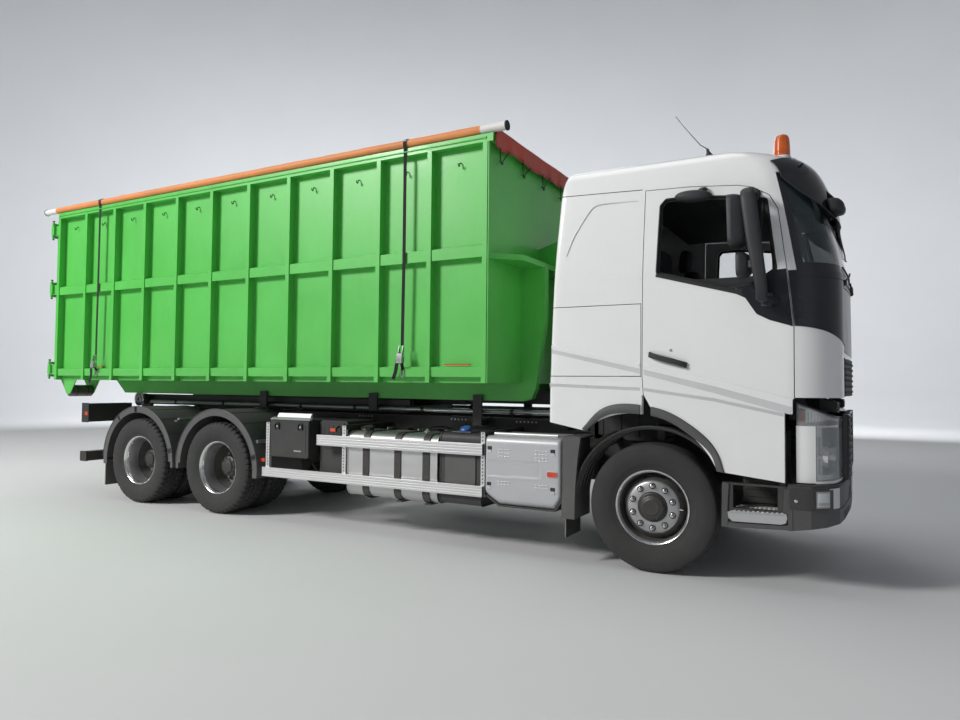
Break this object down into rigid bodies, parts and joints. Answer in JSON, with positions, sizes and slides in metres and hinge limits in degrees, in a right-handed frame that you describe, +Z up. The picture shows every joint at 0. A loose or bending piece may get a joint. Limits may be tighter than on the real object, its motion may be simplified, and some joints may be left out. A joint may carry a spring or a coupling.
{
  "type": "hook-lift waste container truck",
  "caption": "Three-axle hook-lift garbage truck with a sleeper cab, a ribbed steel waste container on its hook arm and a roll tarpaulin.",
  "frame": {"origin": "on the ground, under the middle of the overall length and width", "axes": "+X forward, +Y to the truck's left, +Z up"},
  "size_m": [9.745, 3.1, 3.819],
  "materials": {
    "white_paint": "glossy white paint",
    "green_paint": "bright green paint, satin",
    "dark_paint": "dark grey chassis paint",
    "grey_plastic": "dark grey grained plastic",
    "black_plastic": "black plastic",
    "orange_sheet": "coated orange tarpaulin",
    "tyre": "black tyre rubber",
    "rim_silver": "silver wheel paint",
    "tank_aluminium": "brushed aluminium",
    "rod_chrome": "polished cylinder rod",
    "axle_iron": "painted cast iron",
    "roller_steel": "worn steel",
    "clear_glass": "clear glass",
    "lamp_glass": "clear lamp cover",
    "amber_lens": "amber lens",
    "red_lens": "red lens",
    "seat_cloth": "dark seat cloth"
  },
  "bodies": {
    "chassis": {"chassis_frame": "dark_paint", "lift_subframe": "dark_paint", "front_bumper": "grey_plastic", "headlights": "lamp_glass", "step_boxes": "grey_plastic", "front_mudguards": "grey_plastic", "engine": "axle_iron", "axles": "axle_iron", "propshafts": "dark_paint", "springs": "axle_iron", "side_tanks": "tank_aluminium", "silencer_box": "tank_aluminium", "toolbox": "black_plastic", "battery_box": "grey_plastic", "air_tanks": "dark_paint", "rear_mudguards": "grey_plastic", "side_guards": "tank_aluminium", "tail_beam": "dark_paint", "tail_lights": "red_lens"},
    "toolbox_lid": {"toolbox_lid": "black_plastic"},
    "right_knuckle": {"right_knuckle": "axle_iron"},
    "left_knuckle": {"left_knuckle": "axle_iron"},
    "front_right_wheel": {"front_right_rim": "rim_silver", "front_right_tyre": "tyre"},
    "front_left_wheel": {"front_left_rim": "rim_silver", "front_left_tyre": "tyre"},
    "drive_right_wheels": {"drive_right_rims": "rim_silver", "drive_right_tyres": "tyre"},
    "drive_left_wheels": {"drive_left_rims": "rim_silver", "drive_left_tyres": "tyre"},
    "rear_right_wheels": {"rear_right_rims": "rim_silver", "rear_right_tyres": "tyre"},
    "rear_left_wheels": {"rear_left_rims": "rim_silver", "rear_left_tyres": "tyre"},
    "cab": {"cab_shell": "white_paint", "windscreen": "clear_glass", "sun_visor": "black_plastic", "roof_beacon": "amber_lens", "dashboard": "black_plastic", "seats": "seat_cloth"},
    "front_hatch": {"front_hatch": "white_paint"},
    "right_door": {"right_door": "white_paint", "right_mirrors": "black_plastic"},
    "left_door": {"left_door": "white_paint", "left_mirrors": "black_plastic"},
    "right_locker_lid": {"right_locker_lid": "white_paint"},
    "left_locker_lid": {"left_locker_lid": "white_paint"},
    "tipping_frame": {"tipping_frame": "dark_paint"},
    "rear_rollers": {"rear_rollers": "roller_steel"},
    "lift_arm": {"lift_arm": "dark_paint"},
    "hook_jib": {"hook_jib": "dark_paint"},
    "lift_barrels": {"lift_barrels": "dark_paint"},
    "lift_rods": {"lift_rods": "rod_chrome"},
    "tipping_barrel": {"tipping_barrel": "dark_paint"},
    "tipping_rod": {"tipping_rod": "rod_chrome"},
    "container": {"container": "green_paint", "tarp": "orange_sheet"},
    "ground_rollers": {"ground_rollers": "roller_steel"},
    "right_container_door": {"right_container_door": "green_paint"},
    "left_container_door": {"left_container_door": "green_paint"}
  },
  "joints": [
    {"name": "right_steer", "type": "hinge", "parent": "chassis", "child": "right_knuckle", "pos_m": [3.4875, -0.9, 0.512], "axis": [0, 0, 1], "range_deg": [-40, 40]},
    {"name": "left_steer", "type": "hinge", "parent": "chassis", "child": "left_knuckle", "pos_m": [3.4875, 0.9, 0.512], "axis": [0, 0, 1], "range_deg": [-40, 40]},
    {"name": "front_right_spin", "type": "hinge", "parent": "right_knuckle", "child": "front_right_wheel", "pos_m": [3.4875, -1.03, 0.512], "axis": [0, 1, 0], "continuous": true},
    {"name": "front_left_spin", "type": "hinge", "parent": "left_knuckle", "child": "front_left_wheel", "pos_m": [3.4875, 1.03, 0.512], "axis": [0, 1, 0], "continuous": true},
    {"name": "drive_right_spin", "type": "hinge", "parent": "chassis", "child": "drive_right_wheels", "pos_m": [-1.4125, -0.91, 0.512], "axis": [0, 1, 0], "continuous": true},
    {"name": "drive_left_spin", "type": "hinge", "parent": "chassis", "child": "drive_left_wheels", "pos_m": [-1.4125, 0.91, 0.512], "axis": [0, 1, 0], "continuous": true},
    {"name": "rear_right_spin", "type": "hinge", "parent": "chassis", "child": "rear_right_wheels", "pos_m": [-2.7825, -0.91, 0.512], "axis": [0, 1, 0], "continuous": true},
    {"name": "rear_left_spin", "type": "hinge", "parent": "chassis", "child": "rear_left_wheels", "pos_m": [-2.7825, 0.91, 0.512], "axis": [0, 1, 0], "continuous": true},
    {"name": "cab_tilt", "type": "hinge", "parent": "chassis", "child": "cab", "pos_m": [4.6375, 0, 0.95], "axis": [0, 1, 0], "range_deg": [0, 60]},
    {"name": "front_hatch_hinge", "type": "hinge", "parent": "cab", "child": "front_hatch", "pos_m": [4.8795, 0, 2.245], "axis": [0, -1, 0], "range_deg": [0, 80]},
    {"name": "right_door_hinge", "type": "hinge", "parent": "cab", "child": "right_door", "pos_m": [4.5325, -1.24, 1.9], "axis": [0, 0, -1], "range_deg": [-80, 0]},
    {"name": "left_door_hinge", "type": "hinge", "parent": "cab", "child": "left_door", "pos_m": [4.5325, 1.24, 1.9], "axis": [0, 0, 1], "range_deg": [-80, 0]},
    {"name": "right_locker_hinge", "type": "hinge", "parent": "cab", "child": "right_locker_lid", "pos_m": [3.0385, -1.248, 2.125], "axis": [1, 0, 0], "range_deg": [-85, 0]},
    {"name": "left_locker_hinge", "type": "hinge", "parent": "cab", "child": "left_locker_lid", "pos_m": [3.0385, 1.248, 2.125], "axis": [-1, 0, 0], "range_deg": [-85, 0]},
    {"name": "toolbox_lid_hinge", "type": "hinge", "parent": "chassis", "child": "toolbox_lid", "pos_m": [-0.3405, -1.2, 0.693], "axis": [-1, 0, 0], "range_deg": [-90, 0]},
    {"name": "tip", "type": "hinge", "parent": "chassis", "child": "tipping_frame", "pos_m": [-3.7125, 0, 1.09], "axis": [0, -1, 0], "range_deg": [0, 50]},
    {"name": "rear_rollers_spin", "type": "hinge", "parent": "tipping_frame", "child": "rear_rollers", "pos_m": [-3.6825, 0, 1.235], "axis": [0, 1, 0], "continuous": true},
    {"name": "lift_arm_swing", "type": "hinge", "parent": "tipping_frame", "child": "lift_arm", "pos_m": [-2.2625, 0, 1.27], "axis": [0, 1, 0], "range_deg": [-60, 0]},
    {"name": "jib_slide", "type": "slide", "parent": "lift_arm", "child": "hook_jib", "axis": [-1, 0, 0], "range_m": [0, 0.8]},
    {"name": "container_hook", "type": "hinge", "parent": "hook_jib", "child": "container", "pos_m": [2.2725, 0, 2.885], "axis": [0, 1, 0], "range_deg": [0, 14.5]},
    {"name": "lift_barrels_pivot", "type": "hinge", "parent": "tipping_frame", "child": "lift_barrels", "pos_m": [0.4875, 0, 1.205], "axis": [0, 1, 0], "range_deg": [0, 20]},
    {"name": "lift_rods_slide", "type": "slide", "parent": "lift_barrels", "child": "lift_rods", "axis": [-0.9997, 0, -0.0237], "range_m": [0, 0.452]},
    {"name": "tipping_barrel_pivot", "type": "hinge", "parent": "chassis", "child": "tipping_barrel", "pos_m": [-0.4125, 0, 0.9], "axis": [0, 1, 0], "range_deg": [0, 23]},
    {"name": "tipping_rod_slide", "type": "slide", "parent": "tipping_barrel", "child": "tipping_rod", "axis": [-0.9867, 0, 0.1625], "range_m": [0, 1.044]},
    {"name": "ground_rollers_spin", "type": "hinge", "parent": "container", "child": "ground_rollers", "pos_m": [-4.3725, 0, 1.34], "axis": [0, 1, 0], "continuous": true},
    {"name": "right_container_door_hinge", "type": "hinge", "parent": "container", "child": "right_container_door", "pos_m": [-4.6425, -1.262, 2.57], "axis": [0, 0, 1], "range_deg": [0, 264]},
    {"name": "left_container_door_hinge", "type": "hinge", "parent": "container", "child": "left_container_door", "pos_m": [-4.6425, 1.262, 2.57], "axis": [0, 0, -1], "range_deg": [0, 264]}
  ],
  "couplings": [
    {"joint": "left_steer", "follows": "right_steer", "ratio": 1},
    {"joint": "container_hook", "follows": "lift_arm_swing", "ratio": -0.24},
    {"joint": "lift_barrels_pivot", "follows": "lift_arm_swing", "ratio": -0.331},
    {"joint": "lift_rods_slide", "follows": "lift_arm_swing", "m_per_rad": -0.4302},
    {"joint": "tipping_barrel_pivot", "follows": "tip", "ratio": 0.4568},
    {"joint": "tipping_rod_slide", "follows": "tip", "m_per_rad": 1.1951}
  ]
}
